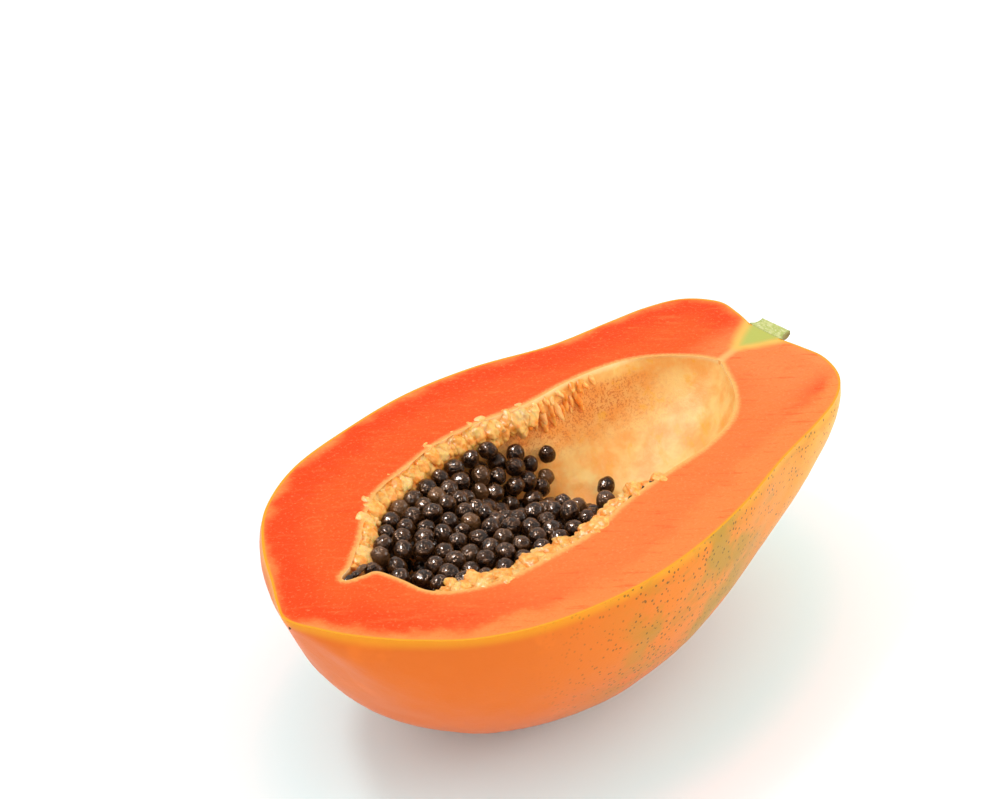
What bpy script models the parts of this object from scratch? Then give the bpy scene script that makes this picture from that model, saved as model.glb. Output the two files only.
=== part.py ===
"""A ripe papaya cut lengthwise: one half, cut face up, with its stem stub and seeds.

Units are metres, +Z is up and +X runs from the blossom tip to the stem.
The origin is under the middle of the half, on the surface that it rests on.
"""
import math
import random

import bmesh
import bpy
from mathutils import Euler, Vector

MM = 0.001
GAP = 0.3                      # clearance between neighbouring pieces
FLAT_SPOT = 1.3                # height of the belly that the resting spot takes off
SECTION_STEPS = 22             # straight pieces in one belly section
FRUIT_RINGS = 40               # sections along the outside
CAVITY_RINGS = 30              # sections along the seed cavity
STEM_RINGS = 5                 # sections along the stem

SEED_COUNT = 54
SEED_RADII = (3.05, 2.8, 2.6)  # half sizes of a seed in its wet aril
SEED_PITCH = 6.55              # closest distance between two seed centres
SEED_LIFT = 3.9                # least distance from a seed's centre to the cavity wall
SEED_STEP = 0.35               # search step along a row of seeds
RANDOM_SEED = 11

HEAP_X = (44.0, 120.0)         # where the heap of deeper seeds starts and ends
HEAP_SIDES = (50.0, 148.0)     # its edges on the cavity wall, in degrees from the far rim
HEAP_LIFT = 0.9                # its clearance from the cavity wall
HEAP_TOP = -15.0               # height of its crest below the cut face
HEAP_LUMP = 0.8                # how far single seeds stand out of it
HEAP_RINGS = 16
HEAP_STEPS = 12

# Half sections from the blossom tip to the stem, in millimetres from the tip:
# (x, y) where the rim meets the far side, (x, y) on the near side, and the depth below.
FRUIT_SECTIONS = (
    (0.0, 1.1, 0.0, 0.5, 0.3),
    (3.0, 8.2, 3.0, -8.4, 7.0),
    (8.0, 16.0, 8.0, -18.4, 15.9),
    (17.0, 30.4, 17.0, -31.0, 32.3),
    (30.0, 44.4, 30.0, -43.6, 48.4),
    (50.0, 54.5, 50.0, -53.4, 62.3),
    (75.0, 58.4, 75.0, -58.6, 71.1),
    (100.0, 59.3, 100.0, -58.6, 73.9),
    (125.0, 55.0, 125.0, -54.8, 70.0),
    (150.0, 46.2, 150.0, -48.4, 60.8),
    (172.0, 42.4, 171.0, -44.2, 47.4),
    (188.0, 39.5, 186.0, -39.8, 34.0),
    (200.5, 34.3, 196.5, -32.8, 22.8),
    (207.0, 24.5, 202.2, -22.5, 14.5),
    (205.6, 15.5, 202.4, -13.0, 9.4),
    (202.6, 7.6, 201.6, -5.2, 6.2),
)

# The seed cavity in the same way, from its narrow slit to its pointed neck end.
CAVITY_SECTIONS = (
    (22.5, 3.6, 22.5, 2.6, 2.0),
    (28.0, 6.2, 27.5, 0.4, 8.0),
    (33.0, 9.8, 31.5, -1.2, 14.0),
    (37.0, 12.2, 33.4, -9.0, 20.0),
    (41.0, 15.6, 34.8, -17.5, 25.0),
    (48.0, 21.2, 40.5, -23.8, 30.0),
    (57.0, 26.8, 52.0, -29.2, 34.0),
    (70.0, 29.6, 68.0, -31.2, 37.0),
    (88.0, 32.3, 86.0, -31.8, 38.0),
    (104.0, 31.0, 103.0, -28.9, 37.0),
    (120.0, 27.8, 121.0, -28.0, 34.0),
    (137.0, 27.3, 138.0, -27.6, 31.0),
    (151.0, 25.0, 151.0, -25.1, 27.0),
    (161.0, 21.4, 161.0, -20.6, 22.0),
    (170.0, 14.8, 170.0, -12.4, 15.0),
    (176.5, 6.6, 176.0, -4.0, 7.0),
    (178.8, 0.9, 178.8, -0.1, 1.5),
)

# The cut stem, from where it grows out of the fruit to its sawn end.
STEM_SECTIONS = (
    (202.6 + GAP, 7.4, 201.6 + GAP, -5.0, 6.0),
    (204.6, 7.1, 204.0, -4.5, 5.7),
    (208.4, 7.2, 208.0, -4.6, 5.6),
)

# Rows of seeds: angle from the far rim in degrees, first and last x, distance from the wall.
# The upper rows sit further off it, on the soft tissue that they grow from.
SEED_ROWS = (
    (11.0, 26.0, 107.0, 6.0),
    (172.0, 36.0, 97.0, 7.5),
    (21.0, 32.0, 116.0, 4.6),
    (160.0, 36.0, 102.0, 4.6),
    (31.0, 36.0, 124.0, 3.9),
    (40.0, 40.0, 126.0, 3.9),
)
LOOSE_SEEDS = ((172.0, 103.5, 103.6, 7.5), (74.0, 133.5, 133.6, 3.9))


def catmull_rom(before, start, end, after, t):
    """Point on the smooth curve that runs from start to end."""
    return tuple(
        0.5 * (2 * b + (c - a) * t + (2 * a - 5 * b + 4 * c - d) * t**2 + (3 * b - a - 3 * c + d) * t**3)
        for a, b, c, d in zip(before, start, end, after)
    )


def mirrored(section):
    """The same half section with its sides swapped, which rounds a tip that it leads into."""
    far_x, far_y, near_x, near_y, depth = section
    return (near_x, near_y, far_x, far_y, -depth)


def section_at(sections, place):
    """Section at a place from 0 (first) to 1 (last), on a smooth curve through all of them."""
    spans = len(sections) - 1
    index = min(int(place * spans), spans - 1)
    start = sections[index]
    end = sections[index + 1]
    before = sections[index - 1] if index else mirrored(end)
    after = sections[index + 2] if index + 2 <= spans else tuple(2 * b - a for a, b in zip(start, end))
    return catmull_rom(before, start, end, after, place * spans - index)


def wall_point(section, angle):
    """Point on a half section: angle 0 is its far rim, 180 degrees its near rim."""
    far_x, far_y, near_x, near_y, depth = section
    along = (1 + math.cos(angle)) / 2
    x = near_x + (far_x - near_x) * along
    y = near_y + (far_y - near_y) * along
    return Vector((x, y, -depth * math.sin(angle)))


def rings_along(sections, count):
    """Half sections evenly spread through a table of them, each as a list of points."""
    rings = []
    for i in range(count):
        section = section_at(sections, i / (count - 1))
        rings.append([wall_point(section, math.pi * step / SECTION_STEPS) for step in range(SECTION_STEPS + 1)])
    return rings


def add_wall(mesh, rings):
    """Skin a row of half sections and close both ends; returns the edges left open along the rim."""
    rows = [[mesh.verts.new(point * MM) for point in ring] for ring in rings]
    faces = [mesh.faces.new(reversed(rows[0])), mesh.faces.new(rows[-1])]
    for this_row, next_row in zip(rows, rows[1:]):
        for i in range(SECTION_STEPS):
            faces.append(mesh.faces.new((this_row[i], next_row[i], next_row[i + 1], this_row[i + 1])))
    return list({edge for face in faces for edge in face.edges if len(edge.link_faces) == 1})


def new_piece(name, mesh):
    """Turn a finished mesh into a named piece whose faces point out."""
    bmesh.ops.recalc_face_normals(mesh, faces=mesh.faces)
    data = bpy.data.meshes.new(name)
    mesh.to_mesh(data)
    mesh.free()
    piece = bpy.data.objects.new(name, data)
    bpy.context.scene.collection.objects.link(piece)
    return piece


def paint(piece, colour, roughness):
    """Give a piece its own plain material."""
    material = bpy.data.materials.new(piece.name)
    material.use_nodes = True
    surface = material.node_tree.nodes["Principled BSDF"]
    surface.inputs["Base Color"].default_value = (*colour, 1.0)
    surface.inputs["Roughness"].default_value = roughness
    surface.inputs["Metallic"].default_value = 0.0
    piece.data.materials.clear()
    piece.data.materials.append(material)


def shade(piece):
    """Smooth shading with the cut edges kept sharp."""
    piece.data.shade_smooth()
    piece.data.set_sharp_from_angle(angle=math.radians(40))


def cut_flat(mesh, height):
    """Take off everything below a height and close the cut with a flat face."""
    everything = mesh.verts[:] + mesh.edges[:] + mesh.faces[:]
    plane = Vector((0, 0, height * MM))
    cut = bmesh.ops.bisect_plane(mesh, geom=everything, plane_co=plane, plane_no=(0, 0, -1), clear_outer=True)
    edges = [item for item in cut["geom_cut"] if isinstance(item, bmesh.types.BMEdge)]
    bmesh.ops.contextual_create(mesh, geom=edges)


def make_fruit():
    """The half fruit: skin and flesh in one, open at the seed cavity and flat where it rests."""
    mesh = bmesh.new()
    outer_rim = add_wall(mesh, rings_along(FRUIT_SECTIONS, FRUIT_RINGS))
    cavity_rim = add_wall(mesh, rings_along(CAVITY_SECTIONS, CAVITY_RINGS))
    bmesh.ops.triangle_fill(mesh, use_beauty=True, edges=outer_rim + cavity_rim)
    depth = max(section_at(FRUIT_SECTIONS, i / (FRUIT_RINGS - 1))[4] for i in range(FRUIT_RINGS)) - FLAT_SPOT
    cut_flat(mesh, -depth)
    fruit = new_piece("papaya_half", mesh)
    shade(fruit)
    paint(fruit, (0.93, 0.29, 0.05), 0.42)
    return fruit, depth


def make_stem():
    """The stub of the stem, split lengthwise by the same cut as the fruit."""
    mesh = bmesh.new()
    rim = add_wall(mesh, rings_along(STEM_SECTIONS, STEM_RINGS))
    bmesh.ops.contextual_create(mesh, geom=rim)
    stem = new_piece("stem_stub", mesh)
    shade(stem)
    paint(stem, (0.42, 0.42, 0.16), 0.7)
    return stem


def place_at_x(angle, x):
    """Place along the cavity where its wall at this angle passes x."""
    low, high = 0.0, 1.0
    for _ in range(30):
        middle = (low + high) / 2
        if wall_point(section_at(CAVITY_SECTIONS, middle), angle).x < x:
            low = middle
        else:
            high = middle
    return low


def off_the_wall(angle, x, lift):
    """Point inside the cavity, a given distance off its wall."""
    nudge = 0.004
    place = place_at_x(angle, x)
    here = wall_point(section_at(CAVITY_SECTIONS, place), angle)
    along = wall_point(section_at(CAVITY_SECTIONS, min(place + nudge, 1.0)), angle) - here
    across = wall_point(section_at(CAVITY_SECTIONS, place), angle + nudge) - here
    return here + across.cross(along).normalized() * lift


def seed_seats():
    """Seats row by row, each as close to the last as two seeds can lie."""
    seats = []
    for degrees, first_x, last_x, lift in LOOSE_SEEDS + SEED_ROWS:
        angle = math.radians(degrees)
        x = first_x
        while x <= last_x and len(seats) < SEED_COUNT:
            seat = off_the_wall(angle, x, lift)
            seat.z = min(seat.z, -SEED_RADII[0] - GAP)
            if all((seat - other).length >= SEED_PITCH for other in seats) and fits_cavity(seat):
                seats.append(seat)
            x += SEED_STEP
    return seats


def fits_cavity(seat):
    """Whether a seed centred here stays off the cavity wall all round."""
    for i in range(61):
        section = section_at(CAVITY_SECTIONS, i / 60)
        for step in range(25):
            if (wall_point(section, math.pi * step / 24) - seat).length < SEED_LIFT - GAP:
                return False
    return True


def make_seeds():
    """One low seed shape for all seeds, each turned its own way."""
    shape = bmesh.new()
    bmesh.ops.create_icosphere(shape, subdivisions=2, radius=1.0)
    bmesh.ops.scale(shape, vec=[size * MM for size in SEED_RADII], verts=shape.verts)
    turn = random.Random(RANDOM_SEED)
    seeds = []
    for number, seat in enumerate(seed_seats(), start=1):
        data = bpy.data.meshes.new(f"seed_{number:02d}")
        shape.to_mesh(data)
        data.shade_smooth()
        seed = bpy.data.objects.new(data.name, data)
        seed.location = seat * MM
        seed.rotation_euler = Euler([turn.uniform(0, 2 * math.pi) for _ in range(3)])
        bpy.context.scene.collection.objects.link(seed)
        paint(seed, (0.045, 0.028, 0.02), 0.25)
        seeds.append(seed)
    shape.free()
    return seeds


def make_heap():
    """The seeds that lie deeper, joined in one lumpy body along the cavity floor."""
    mesh = bmesh.new()
    rows = []
    for i in range(HEAP_RINGS):
        x = HEAP_X[0] + (HEAP_X[1] - HEAP_X[0]) * i / (HEAP_RINGS - 1)
        angles = [math.radians(HEAP_SIDES[0] + (HEAP_SIDES[1] - HEAP_SIDES[0]) * j / HEAP_STEPS)
                  for j in range(HEAP_STEPS + 1)]
        floor = [off_the_wall(angle, x, HEAP_LIFT) for angle in angles]
        crest = []
        for j in range(1, HEAP_STEPS):
            across = j / HEAP_STEPS
            top = floor[-1].lerp(floor[0], across)
            crown = math.sin(math.pi * across) ** 0.6
            lump = HEAP_LUMP * (-1) ** (i + j)
            top.z += (HEAP_TOP - top.z) * crown + lump
            crest.append(top)
        rows.append([mesh.verts.new(point * MM) for point in floor + crest])
    count = len(rows[0])
    for this_row, next_row in zip(rows, rows[1:]):
        for i in range(count):
            j = (i + 1) % count
            mesh.faces.new((this_row[i], next_row[i], next_row[j], this_row[j]))
    mesh.faces.new(reversed(rows[0]))
    mesh.faces.new(rows[-1])
    bmesh.ops.triangulate(mesh, faces=mesh.faces)
    heap = new_piece("seed_heap", mesh)
    shade(heap)
    paint(heap, (0.045, 0.028, 0.02), 0.35)
    return heap


def centre_on_origin(pieces, rest_depth):
    """Move every piece so that the whole half stands on the origin, centred."""
    stem_end = max(STEM_SECTIONS[-1][0], STEM_SECTIONS[-1][2])
    widths = [section_at(FRUIT_SECTIONS, i / (FRUIT_RINGS - 1)) for i in range(FRUIT_RINGS)]
    far = max(section[1] for section in widths)
    near = min(section[3] for section in widths)
    shift = Vector((-stem_end / 2, -(far + near) / 2, rest_depth)) * MM
    for piece in pieces:
        piece.location += shift


def main():
    for old in list(bpy.data.objects):
        bpy.data.objects.remove(old)
    fruit, rest_depth = make_fruit()
    pieces = [fruit, make_stem(), make_heap()] + make_seeds()
    centre_on_origin(pieces, rest_depth)
    print("pieces:", len(pieces))


main()
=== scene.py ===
# %% [markdown]
# # A papaya cut in half
# One half of a ripe papaya lies on its belly with the cut face up. The lesson makes the fruit
# as one closed mesh, then the stem, the tissue in the seed cavity and the wet seeds.
# Lengths in the tables are in millimetres from the blossom tip, because fruit is easiest to
# think of that way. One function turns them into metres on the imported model's frame.

# %% Load the frame
import math
import random

import bpy
import numpy as np
from mathutils import Euler, Matrix, Vector
from mathutils.kdtree import KDTree


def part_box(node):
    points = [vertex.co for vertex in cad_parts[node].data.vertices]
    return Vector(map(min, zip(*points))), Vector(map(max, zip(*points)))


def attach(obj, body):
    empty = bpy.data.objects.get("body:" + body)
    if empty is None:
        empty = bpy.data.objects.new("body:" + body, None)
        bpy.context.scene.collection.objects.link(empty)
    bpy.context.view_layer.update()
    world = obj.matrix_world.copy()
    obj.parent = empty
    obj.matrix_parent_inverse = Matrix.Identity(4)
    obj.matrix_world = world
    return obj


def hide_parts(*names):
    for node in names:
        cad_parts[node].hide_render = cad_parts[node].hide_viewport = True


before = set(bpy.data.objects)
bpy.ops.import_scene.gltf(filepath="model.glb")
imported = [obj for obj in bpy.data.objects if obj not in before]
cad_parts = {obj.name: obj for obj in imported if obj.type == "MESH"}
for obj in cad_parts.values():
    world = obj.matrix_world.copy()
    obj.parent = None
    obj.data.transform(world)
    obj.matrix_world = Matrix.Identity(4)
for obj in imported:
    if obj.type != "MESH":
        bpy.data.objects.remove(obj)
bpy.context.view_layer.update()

MM = 0.001
fruit_low, fruit_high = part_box("papaya_half")
print("fruit box in mm:", [round(c / MM, 1) for c in (*fruit_low, *fruit_high)])

# %% [markdown]
# ## Place on the frame
# The blossom tip is the lowest x of the fruit, its cut face is the top of its box, and its
# length axis runs a hair beside the middle of the box. Every point below goes through `place`.

# %% Millimetres from the tip to metres on the frame
AXIS_SHIFT = 0.35                      # mm from the middle of the box to the length axis
TIP = Vector((fruit_low[0], (fruit_low[1] + fruit_high[1]) / 2 - AXIS_SHIFT * MM, fruit_high[2]))


def place(x, y, z):
    """A point in millimetres from the blossom tip, in metres on the frame."""
    return Vector((TIP.x + x * MM, TIP.y + y * MM, TIP.z + z * MM))


def from_tip(point):
    """The other way round: a point on the frame, in millimetres from the blossom tip."""
    return np.array([(point[i] - TIP[i]) / MM for i in range(3)])


print("blossom tip at", [round(c, 4) for c in TIP])

# %% [markdown]
# ## Camera
# A long lens flattens the fruit the way a studio picture does. It looks down on the cut face
# from the blossom end, so the camera is placed by azimuth, elevation and distance.

# %% Set up the camera
VIEW_AZIMUTH = math.radians(-44.54)
VIEW_ELEVATION = math.radians(32.35)
VIEW_ROLL = math.radians(-1.84)
VIEW_DISTANCE = 0.7206
VIEW_TARGET = place(116.8, 35.5, 0)

towards_camera = Vector((
    math.sin(VIEW_AZIMUTH) * math.cos(VIEW_ELEVATION),
    -math.cos(VIEW_AZIMUTH) * math.cos(VIEW_ELEVATION),
    math.sin(VIEW_ELEVATION)))
level = Vector((math.cos(VIEW_AZIMUTH), math.sin(VIEW_AZIMUTH), 0))
upward = towards_camera.cross(level)
right = level * math.cos(VIEW_ROLL) + upward * math.sin(VIEW_ROLL)
up = upward * math.cos(VIEW_ROLL) - level * math.sin(VIEW_ROLL)

camera_data = bpy.data.cameras.new("camera")
camera_data.lens = 85
camera = bpy.data.objects.new("camera", camera_data)
bpy.context.scene.collection.objects.link(camera)
turn = Matrix((right, up, towards_camera)).transposed().to_4x4()
camera.matrix_world = Matrix.Translation(VIEW_TARGET + towards_camera * VIEW_DISTANCE) @ turn
bpy.context.scene.camera = camera
print("camera at", [round(c, 3) for c in camera.location])

# %% [markdown]
# ## Floor and light
# A fruit in a studio stands on white card under big soft lamps. White light from all sides
# makes the soft contact shadow, and a painted cyan tint on the card keeps it grey. Three area
# lamps model the fruit, and a fourth one only puts the wet glints on the seeds.

# %% Floor, lamps and world
scene = bpy.context.scene
scene.view_settings.view_transform = "Standard"

floor_mesh = bpy.data.meshes.new("floor")
FLOOR_SIZE = 3.0
corners = [(-FLOOR_SIZE, -FLOOR_SIZE, 0), (FLOOR_SIZE, -FLOOR_SIZE, 0),
           (FLOOR_SIZE, FLOOR_SIZE, 0), (-FLOOR_SIZE, FLOOR_SIZE, 0)]
floor_mesh.from_pydata(corners, [], [(0, 1, 2, 3)])
floor = bpy.data.objects.new("floor", floor_mesh)
scene.collection.objects.link(floor)

WORLD_STRENGTH = 1.04
world = bpy.data.worlds.new("studio")
world.use_nodes = True
world.node_tree.nodes["Background"].inputs["Color"].default_value = (1, 1, 1, 1)
world.node_tree.nodes["Background"].inputs["Strength"].default_value = WORLD_STRENGTH
scene.world = world


def soft_lamp(name, at, aim, size, power):
    """A square area lamp that looks at a point."""
    data = bpy.data.lights.new(name, "AREA")
    data.shape = "SQUARE"
    data.size = size
    data.energy = power
    lamp = bpy.data.objects.new(name, data)
    scene.collection.objects.link(lamp)
    lamp.location = at
    lamp.rotation_euler = (Vector(aim) - Vector(at)).to_track_quat("-Z", "Y").to_euler()
    return lamp


FRUIT_MIDDLE = place(100, 0, -20)
NECK_MIDDLE = place(160, 0, -30)
LAMPS = (
    # name, place in metres, aim, size in metres, watts
    ("key_lamp", (-0.30, 0.45, 1.25), FRUIT_MIDDLE, 0.2, 3.4),
    ("front_lamp", (-0.75, -0.95, 0.75), FRUIT_MIDDLE, 0.2, 0.9),
    ("side_lamp", (1.0, -0.65, 0.32), NECK_MIDDLE, 0.5, 6.0),
    ("glint_lamp", (-0.45, 0.25, 1.20), FRUIT_MIDDLE, 0.22, 75),
)
lamps = {line[0]: soft_lamp(*line) for line in LAMPS}
# The glint lamp shows in glossy surfaces only, as the wet shine of the seeds.
lamps["glint_lamp"].visible_diffuse = False

# %% [markdown]
# ## The sections of the fruit
# A half papaya is a row of half sections, like the frames of a boat. Each line below is one
# section: where the rim meets the far side (x, y), where it meets the near side (x, y), and how
# deep the section goes. A smooth curve through the lines gives every section between them.

# %% Section tables
FRUIT_SECTIONS = np.array([
    (0.0, 1.1, 0.0, 0.5, 0.3),
    (3.0, 8.2, 3.0, -8.4, 7.0),
    (8.0, 16.0, 8.0, -18.4, 15.9),
    (17.0, 30.4, 17.0, -31.0, 32.3),
    (30.0, 44.4, 30.0, -43.6, 48.4),
    (50.0, 54.5, 50.0, -53.4, 62.3),
    (75.0, 58.4, 75.0, -58.6, 71.1),
    (100.0, 59.3, 100.0, -58.6, 73.9),
    (125.0, 55.0, 125.0, -54.8, 70.0),
    (150.0, 46.2, 150.0, -48.4, 60.8),
    (172.0, 42.4, 171.0, -44.2, 47.4),
    (188.0, 39.5, 186.0, -39.8, 34.0),
    (200.5, 34.3, 196.5, -32.8, 22.8),
    (207.0, 24.5, 202.2, -22.5, 14.5),
    (205.6, 15.5, 202.4, -13.0, 9.4),
    (202.6, 7.6, 201.6, -5.2, 6.2),
])
CAVITY_SECTIONS = np.array([
    (22.5, 3.6, 22.5, 2.6, 2.0),
    (28.0, 6.2, 27.5, 0.4, 8.0),
    (33.0, 9.8, 31.5, -1.2, 14.0),
    (37.0, 12.2, 33.4, -9.0, 20.0),
    (41.0, 15.6, 34.8, -17.5, 25.0),
    (48.0, 21.2, 40.5, -23.8, 30.0),
    (57.0, 26.8, 52.0, -29.2, 34.0),
    (70.0, 29.6, 68.0, -31.2, 37.0),
    (88.0, 32.3, 86.0, -31.8, 38.0),
    (104.0, 31.0, 103.0, -28.9, 37.0),
    (120.0, 27.8, 121.0, -28.0, 34.0),
    (137.0, 27.3, 138.0, -27.6, 31.0),
    (151.0, 25.0, 151.0, -25.1, 27.0),
    (161.0, 21.4, 161.0, -20.6, 22.0),
    (170.0, 14.8, 170.0, -12.4, 15.0),
    (176.5, 6.6, 176.0, -4.0, 7.0),
    (178.8, 0.9, 178.8, -0.1, 1.5),
])
BELLY_FLOOR = -(TIP.z - fruit_low[2]) / MM        # the flat spot's height, in mm below the cut


def sections_between(table, places):
    """Smooth sections at places from 0 (first line) to 1 (last line)."""
    first = table[1][[2, 3, 0, 1, 4]] * (1, 1, 1, 1, -1)
    last = 2 * table[-1] - table[-2]
    points = np.vstack([first, table, last])
    spans = len(table) - 1
    start = np.minimum((np.asarray(places) * spans).astype(int), spans - 1)
    t = (np.asarray(places) * spans - start)[:, None]
    a, b, c, d = (points[start + i] for i in range(4))
    return 0.5 * (2 * b + (c - a) * t + (2 * a - 5 * b + 4 * c - d) * t**2
                  + (3 * b - a - 3 * c + d) * t**3)


def wall_points(sections, angles):
    """Points on half sections: one row per section, angle 0 is the far rim and pi the near rim."""
    far_x, far_y, near_x, near_y, depth = (sections[:, i, None] for i in range(5))
    along = (1 + np.cos(angles)[None, :]) / 2
    return np.stack([near_x + (far_x - near_x) * along, near_y + (far_y - near_y) * along,
                     -depth * np.sin(angles)[None, :]], -1)


print("fruit sections:", len(FRUIT_SECTIONS), " cavity sections:", len(CAVITY_SECTIONS))

# %% [markdown]
# ## Roughness that repeats
# Fruit is never smooth. A small value noise in plain numpy gives soft lumps at any size, the
# same on each run, so the skin, the flesh and the cavity wall get real relief in their mesh.

# %% Noise helper


def lumps(points, size, seed=0):
    """Smooth value noise from -1 to 1 at points in mm; size is the distance between two lumps."""
    grid = points / size + 1000.0 + 37.0 * seed
    cell = np.floor(grid).astype(np.int64)
    f = grid - cell
    f = f * f * (3 - 2 * f)
    total = np.zeros(points.shape[:-1])
    for corner in range(8):
        step = np.array([corner & 1, corner >> 1 & 1, corner >> 2 & 1])
        key = (cell + step) @ np.array([73856093, 19349663, 83492791]) + seed * 2654435
        key = (key ^ (key >> 13)) * 1274126177 & 0xFFFFFFFF
        value = ((key ^ (key >> 16)) & 0xFFFF) / 32767.5 - 1
        weight = np.prod(np.where(step, f, 1 - f), axis=-1)
        total += weight * value
    return total


print("noise from", round(float(lumps(np.random.default_rng(0).random((999, 3)) * 50, 4).min()), 2))

# %% [markdown]
# ## The fruit as one mesh
# Skin, cut face and cavity wall could be three sheets, but a real half is one body, so they
# share their rims. The skin and the cavity are grids of sections. The cut face joins the two
# outlines, point by point, with rings between them.

# %% Build the three grids
RINGS = 230
SKIN_STEPS = 96
CAVITY_STEPS = 110
FACE_RINGS = 46
STEM_STEPS = 14


def evenly_along(table, count):
    """Places that are evenly spread along the rim."""
    fine = np.linspace(0, 1, 2000)
    sections = sections_between(table, fine)
    rim = (sections[:, 0:2] + sections[:, 2:4] * (1, -1)) / 2
    length = np.concatenate([[0], np.cumsum(np.linalg.norm(np.diff(rim, axis=0), axis=1))])
    return np.interp(np.linspace(0, length[-1], count), length, fine)


skin_angles = np.linspace(0, math.pi, SKIN_STEPS + 1)
cavity_angles = np.linspace(0, math.pi, CAVITY_STEPS + 1)
skin = wall_points(sections_between(FRUIT_SECTIONS, evenly_along(FRUIT_SECTIONS, RINGS)), skin_angles)
cavity = wall_points(sections_between(CAVITY_SECTIONS, evenly_along(CAVITY_SECTIONS, RINGS)), cavity_angles)
stem_line = np.linspace(skin[-1, 0], skin[-1, -1], STEM_STEPS + 1)
neck_line = np.linspace(cavity[-1, 0], cavity[-1, -1], STEM_STEPS + 1)
outer_loop = np.vstack([skin[:, 0], stem_line[1:-1], skin[::-1, -1], skin[:1, 0]])
inner_loop = np.vstack([cavity[:, 0], neck_line[1:-1], cavity[::-1, -1], cavity[:1, 0]])
mix = np.linspace(0, 1, FACE_RINGS + 1)[:, None, None]
face = outer_loop[None] * (1 - mix) + inner_loop[None] * mix
print("skin", skin.shape, "cavity", cavity.shape, "cut face", face.shape)

# %% [markdown]
# ## Relief
# The skin has five faint lobes, shallow dents and fine pores. The cut face has low fibres that
# run from the skin to the cavity. The cavity wall is lumpy where seeds grow and smooth at the
# neck. Rims stay where they are, so the three grids still meet.

# %% Push the grids in and out


def normals_of(grid):
    """Unit normals of a grid of points; on the fruit's walls they point to the middle."""
    down = np.gradient(grid, axis=0)
    across = np.gradient(grid, axis=1)
    normal = np.cross(across, down)
    return normal / np.maximum(np.linalg.norm(normal, axis=-1, keepdims=True), 1e-9)


def fade(value, start, end):
    """0 up to start, 1 from end, smooth between."""
    t = np.clip((value - start) / (end - start), 0, 1)
    return t * t * (3 - 2 * t)


LOBES, LOBE_HEIGHT, LOBE_SHIFT = 5, 0.9, 0.6     # how many ribs, their mm, their turn
DENT_LIMIT = 0.3                                 # the skin never goes further in, in mm
SKIN_SWELL = 0.35                                # mm that the skin stands out all over
SEEDS_END, NECK_START = 112, 150                 # x where the seed bed fades out
SLIT_END, SLIT_FULL = 22.5, 30
NECK_FULL, NECK_END = 174, 178.8
FIBRE_PITCH, FIBRE_RUN = 1.4, 3.0                # mm across the fibres, waves along them

skin_depth = -skin[..., 2]
off_rim = fade(skin_depth, 0.0, 4.0) * fade(skin[..., 0], 0.5, 8.0)
lobe_wave = (1 + np.cos(skin_angles * LOBES - LOBE_SHIFT))[None, :] / 2
lobes = -LOBE_HEIGHT * lobe_wave * np.ones((RINGS, 1))
dents = 0.45 * lumps(skin, 22, 1) + 0.16 * lumps(skin * (0.5, 1, 1), 6, 2)
pores = 0.05 * lumps(skin, 1.6, 3)
relief = (lobes + np.minimum(dents, DENT_LIMIT) - SKIN_SWELL + pores) * off_rim
skin = skin + normals_of(skin) * relief[..., None]
skin[..., 2] = np.maximum(skin[..., 2], BELLY_FLOOR)

seed_zone = 1 - fade(cavity[..., 0], SEEDS_END, NECK_START)
cavity_depth = -cavity[..., 2]
off_slit = fade(cavity[..., 0], SLIT_END, SLIT_FULL)
off_neck = 1 - fade(cavity[..., 0], NECK_FULL, NECK_END)
off_edge = fade(cavity_depth, 0.0, 1.2) * off_slit * off_neck
knuckles = 0.9 * np.abs(lumps(cavity, 3.2, 4)) + 0.35 * lumps(cavity, 1.5, 5)
waves = 0.9 * lumps(cavity * (1, 1, 0.6), 14, 6) + 0.12 * lumps(cavity, 2.2, 7)
relief = (knuckles * seed_zone + waves * (1 - 0.4 * seed_zone)) * off_edge
cavity = cavity - normals_of(cavity) * relief[..., None]

run = np.concatenate([[0], np.cumsum(np.linalg.norm(np.diff(outer_loop, axis=0), axis=1))])
fibre_place = np.stack([np.broadcast_to(run, face.shape[:2]) / FIBRE_PITCH,
                        np.broadcast_to(mix[..., 0] * FIBRE_RUN, face.shape[:2]),
                        np.zeros(face.shape[:2])], -1)
inside = fade(mix[..., 0], 0, 0.06) * (1 - fade(mix[..., 0], 0.94, 1))
fibres = 0.07 * lumps(fibre_place, 1.0, 8) + 0.10 * lumps(face, 7, 9) + 0.035 * lumps(face, 1.3, 10)
face[..., 2] -= (np.abs(fibres) * fade(face[..., 0], 26, 42) + 0.02) * inside
print("deepest point of the skin:", round(float(skin[..., 2].min()), 1), "mm")

# %% [markdown]
# ## One closed mesh with three finishes
# The grids are welded along their shared rims, and the little strips at the tip and at the stem
# are filled, so the body is closed. Each point also gets numbers that the finishes read: how far
# it is from the skin and from the cavity, how far along the fruit, and how far below the cut.

# %% Weld the grids and write the attributes
SKIN, FLESH, LINING = 0, 1, 2


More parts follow.
